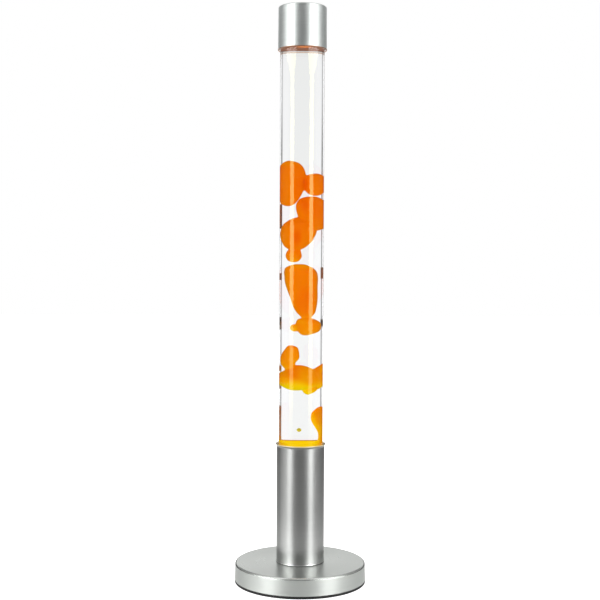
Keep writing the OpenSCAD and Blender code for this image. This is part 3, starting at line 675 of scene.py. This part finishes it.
WAX_I = [(233.6, 19.0, 21.5), (232.4, 16.6, 23.4), (230.4, 14.4, 25.0), (228.2, 12.4, 26.0), (226, 10.8, 26.5),
         (223.6, 10.1, 26.6), (221.4, 9.8, 26.6), (218.8, 9.8, 26.6), (216, 10.2, 26.6), (213.5, 10.9, 26.6),
         (211, 11.9, 26.6), (208.2, 13.3, 26.6), (205.6, 14.6, 26.6), (203, 15.9, 26.6), (200.3, 17.0, 26.6),
         (197.7, 17.7, 26.6), (192.4, 17.7, 26.6), (189.0, 16.7, 26.6), (187.0, 14.0, 26.6), (183, 9.0, 26.6)]
WAX_J = [(205.6, -2.0, -1.2), (204.6, -3.4, 0.2), (203, -4.0, 0.8), (201.4, -3.4, 0.2), (200.4, -2.0, -1.2)]

wax_piece("wax_upper_mass", [(WAX_A, 0.0, 0.98, 1.2), (WAX_B, 2.0, 0.95, 1.0)], "wax_upper", "upper_wax")
wax_piece("wax_middle_mass", [(WAX_C, 1.0, 0.95, 1.5), (WAX_D, -1.0, 0.95, 1.2), (WAX_E, -1.0, 1.0, 1.2)], "wax_middle", "middle_wax")
wax_piece("wax_long_drop", [(WAX_F, 0.0, 1.0, 1.75), (WAX_G, 0.0, 0.95, 1.6), (WAX_G_NUB, 2.0, 1.0, 1.0)], "wax_teardrop", "teardrop_wax")
wax_piece("wax_lower_cluster", [(WAX_H1, 0.0, 1.0, 1.3), (WAX_H2, 0.0, 0.95, 1.0), (WAX_H3, 2.0, 1.0, 1.6), (WAX_H4, -3.0, 1.0, 1.0)],
          "wax_lower", "lower_wax")
wax_piece("wax_small_droplet", [(WAX_J, 0.0, 1.0, 1.0)], "wax_droplet", "droplet", 0.25, 4, "droplet")

# the pool with a slight rise where it wets the glass, and the column that rises out of it
pool_profile = ([(0, 132.6), (24.2, 132.6)] + arc(24.2, 135.6, 3.0, -90, 0, 8)
                + [(27.2, 185.4), (27.15, 186.3), (26.9, 185.9), (26.4, 185.55), (25.4, 185.4), (0, 185.4)])
bm = bmesh.new()
loft(bm, WAX_I, 0.0, 1.0, 1.6)
bmesh.ops.recalc_face_normals(bm, faces=bm.faces)
me = bpy.data.meshes.new("rising_column")
bm.to_mesh(me)
bm.free()
column = link(bpy.data.objects.new("rising_column", me))
r = column.modifiers.new("merge", "REMESH")
r.mode, r.voxel_size, r.use_smooth_shade = "VOXEL", 0.7 * MM, True
m = column.modifiers.new("relax", "SMOOTH")
m.factor, m.iterations = 0.5, 4
apply_modifiers(column)
for p in column.data.polygons:
    p.use_smooth = True
turned = lathe("wax_pool_body", pool_profile, 160, 60)
bm = bmesh.new()
bm.from_mesh(turned.data)
bm.from_mesh(column.data)
bm.to_mesh(turned.data)
bm.free()
bpy.data.objects.remove(column)
pool = turned
dress(pool, "wax_yellow")
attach(pool, "bottle")
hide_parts("wax_pool")

# the liquid, a plain body that lets the wax move through it
liquid = lathe("clear_liquid_column", [(0, 185.5), (27.2, 185.5), (27.2, 705.1), (0, 705.1)], 128, 30)
dress(liquid, "clear_liquid")
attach(liquid, "bottle")
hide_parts("clear_liquid")

# ---------------------------------------------------------------- floor, light

floor = mesh_object("floor", [(-8, -8, 0), (8, -8, 0), (8, 8, 0), (-8, 8, 0)], [(0, 1, 2, 3)], False)
fm, ft, fout = material("pale_floor")
tc = ft.new("ShaderNodeTexCoord")
fn = ft.noise(tc.outputs["Object"], 3.0, 2.0, 0.5)
fd = ft.new("ShaderNodeBsdfDiffuse")
ft.link(ft.ramp(fn, [(0.0, (0.93, 0.93, 0.93)), (1.0, (0.96, 0.96, 0.96))]), fd.inputs[0])
fe = ft.new("ShaderNodeEmission")
fe.inputs[1].default_value = 0.8
fa = ft.new("ShaderNodeAddShader")
ft.link(fd.outputs[0], fa.inputs[0])
ft.link(fe.outputs[0], fa.inputs[1])
ft.link(fa.outputs[0], fout.inputs[0])
floor.data.materials.append(fm)
floor.visible_glossy = False
floor.visible_transmission = False

world = bpy.data.worlds.new("studio")
scene.world = world
world.use_nodes = True
w = Tree(world.node_tree)
wout = w.new("ShaderNodeOutputWorld")
wtc = w.new("ShaderNodeTexCoord")
dx, dy, dz = w.xyz(wtc.outputs["Generated"])
ax = w.math("ABSOLUTE", dx)
az = w.math("DEGREES", w.math("ARCTAN2", ax, w.math("MULTIPLY", dy, -1.0)))      # 0 is behind the camera, 180 behind the lamp
flat = w.math("SQRT", w.math("ADD", w.math("MULTIPLY", dx, dx), w.math("MULTIPLY", dy, dy)))
el = w.math("DEGREES", w.math("ARCTAN2", dz, flat))
# two tall soft lights, one to each side of the camera, with paler walls beyond them
elr = w.math("DIVIDE", w.math("ADD", el, 90.0), 180.0)


def by_height(stops):
    """Brightness by elevation in degrees."""
    return w.ramp(elr, [((e + 90.0) / 180.0, (v / 8.0,) * 3) for e, v in stops])


def times8(v):
    return w.math("MULTIPLY", v, 8.0)


left = w.math("LESS_THAN", dx, 0.0)
high = w.step(el, 9.6, 11.0)              # the cap sees the lights' upper parts, which are wider
low = w.step(el, -11.5, -14.0)             # and the foot of the sleeve sees them wider on the inner side
lo_az = w.math("MULTIPLY_ADD", high, -9.0, w.math("MULTIPLY_ADD", left, 2.0, 39.5))
lo_az = w.math("SUBTRACT", lo_az, w.math("MULTIPLY", low, w.math("MULTIPLY_ADD", left, 3.0, 3.0)))
hi_az = w.math("MULTIPLY_ADD", high, 27.0, w.math("MULTIPLY_ADD", left, 2.0, 61.0))
box = w.math("MULTIPLY", w.math("GREATER_THAN", az, lo_az), w.math("LESS_THAN", az, hi_az))
box = w.math("MULTIPLY", box, times8(by_height([(-70, 0.0), (-30, 0.2), (-16.5, 0.50), (-14, 0.62), (-12.5, 0.40), (-11, 0.20), (-9.5, 0.30), (-8.2, 0.6), (-6, 4.0), (-1, 7.0),
                                                (8, 7.2), (10.5, 4.8), (13, 3.0), (15, 0.9), (20, 0.6), (60, 1.0), (75, 0.0)])))
box = w.math("MULTIPLY", box, w.math("MULTIPLY_ADD", left, -0.12, 1.06))
# the heights between the sleeve and the cap, which only the tube mirrors, stay dark outside the two lights
gap = w.math("MULTIPLY", w.step(el, -9.7, -8.9), w.step(el, 11.4, 10.6))
wall = w.math("MULTIPLY", w.step(az, 56.0, 63.0), w.step(az, 126.0, 84.0))
wall_l = times8(by_height([(-40, 0.2), (-17.5, 1.05), (-13, 1.08), (-9.5, 0.40), (0, 0.4), (12, 0.7), (17.5, 0.4), (60, 0.3), (90, 0.3)]))
wall_r = times8(by_height([(-40, 0.2), (-17.5, 0.40), (-13, 0.40), (-9.5, 0.08), (0, 0.25), (12, 0.7), (17.5, 0.35), (60, 0.3), (90, 0.3)]))
side = w.math("ADD", w.math("MULTIPLY", left, wall_l), w.math("MULTIPLY", w.math("SUBTRACT", 1.0, left), wall_r))
base = times8(by_height([(-90, 0.1), (-40, 0.25), (-22, 0.68), (-16.5, 0.76), (-13, 0.34), (-9.5, 0.03), (0, 0.06), (9.8, 0.60), (12.5, 0.60),
                         (15, 0.50), (18, 0.16), (25, 0.05), (45, 0.3), (60, 0.6), (90, 0.8)]))
rear = w.math("ADD", w.math("MULTIPLY", w.step(az, 90.0, 116.0), 0.12),
              w.math("MULTIPLY", w.step(az, 140.0, 165.0), times8(by_height([(-20, 0.5), (0, 0.5), (6.5, 0.45), (12, 0.6), (15, 0.66), (19, 0.68), (40, 0.25), (90, 0.0)]))))
quiet = w.math("MULTIPLY_ADD", gap, -0.93, 1.0)
side = w.math("MULTIPLY", side, quiet)
base = w.math("MULTIPLY", base, quiet)
rear = w.math("MULTIPLY", rear, quiet)
glossy = w.math("ADD", w.math("ADD", box, w.math("MULTIPLY", wall, side)), w.math("ADD", base, rear))
# what is seen through the tube: white, a little greyer straight behind
fold = w.math("ABSOLUTE", w.math("SUBTRACT", w.math("MODULO", w.math("ADD", az, 45.0), 90.0), 45.0))
thru = w.ramp(w.math("DIVIDE", fold, 45.0), [
    (0.0, (0.88, 0.885, 0.865)), (0.25, (0.88, 0.885, 0.865)), (0.55, (0.96, 0.96, 0.95)), (1.0, (0.97, 0.97, 0.965))])
lift = w.ramp(elr, [(0.0, (0.03,) * 3), ((90 - 3.8) / 180, (0.09,) * 3), ((90 + 1.1) / 180, (0.07,) * 3),
                    ((90 + 5.5) / 180, (0.015,) * 3), ((90 + 9.8) / 180, (0.0,) * 3)])
thru = w.mix(1.0, thru, lift, "ADD")
flank = w.math("MULTIPLY", w.step(az, 98.0, 106.0), w.step(az, 130.0, 126.0))
flank = w.math("MULTIPLY_ADD", flank, 0.55, 1.0)
thru = w.mix(1.0, thru, w.combine(flank, flank, flank), "MULTIPLY")
lp = w.new("ShaderNodeLightPath")
c = w.mix(lp.outputs["Is Glossy Ray"], (1.0, 1.0, 1.0, 1), w.combine(glossy, glossy, glossy))
c = w.mix(lp.outputs["Is Transmission Ray"], c, thru)
c = w.mix(lp.outputs["Is Camera Ray"], c, (1.0, 1.0, 1.0, 1))
bg = w.new("ShaderNodeBackground")
w.link(c, bg.inputs[0])
bg.inputs[1].default_value = 1.0
w.link(bg.outputs[0], wout.inputs[0])
world.cycles.sampling_method = "MANUAL"
world.cycles.sample_map_resolution = 1024

scene.view_settings.view_transform = "Standard"
scene.view_settings.look = "None"
scene.cycles.max_bounces = 24
scene.cycles.glossy_bounces = 8
scene.cycles.transmission_bounces = 24
scene.cycles.transparent_max_bounces = 32
